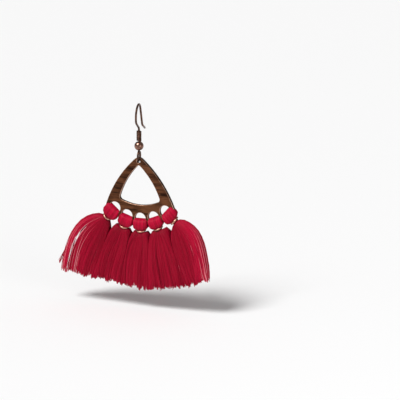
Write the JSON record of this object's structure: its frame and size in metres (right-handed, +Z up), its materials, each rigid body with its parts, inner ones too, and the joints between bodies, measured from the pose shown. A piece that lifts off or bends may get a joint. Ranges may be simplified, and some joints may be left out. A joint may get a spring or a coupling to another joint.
{
  "type": "tassel drop earring",
  "caption": "Drop earring with an ear wire, coil and ball bead, carrying a rounded triangular metal frame with a fan of silky thread tassels folded through holes along its lower edge.",
  "frame": {"origin": "inside top of the ear wire's arch, where the pierced ear carries it", "axes": "+Z up as it hangs, the front faces -Y, +X to the right seen from the front; the ear wire lies in the plane X = 0"},
  "size_m": [0.0522, 0.0156, 0.063],
  "materials": {
    "ear_wire": "antique copper plating, dull shine",
    "bead": "antique copper plating, polished",
    "frame": "antique copper, streaked patina, bright worn edges",
    "neck_ring": "light antique copper",
    "silk_thread": "crimson silky thread with a bright sheen"
  },
  "bodies": {
    "hook": {"ear_hook": "ear_wire", "hook_coil": "ear_wire", "hook_bead": "bead"},
    "drop": {"frame": "frame", "neck_ring_1": "neck_ring", "neck_ring_2": "neck_ring", "neck_ring_3": "neck_ring", "neck_ring_4": "neck_ring", "neck_ring_5": "neck_ring", "tassel_1": "silk_thread", "tassel_2": "silk_thread", "tassel_3": "silk_thread", "tassel_4": "silk_thread", "tassel_5": "silk_thread"}
  },
  "joints": [
    {"name": "drop_swing", "type": "hinge", "parent": "hook", "child": "drop", "pos_m": [0, 0.00044, -0.01726], "axis": [1, 0, 0], "range_deg": [-110, 110]}
  ]
}
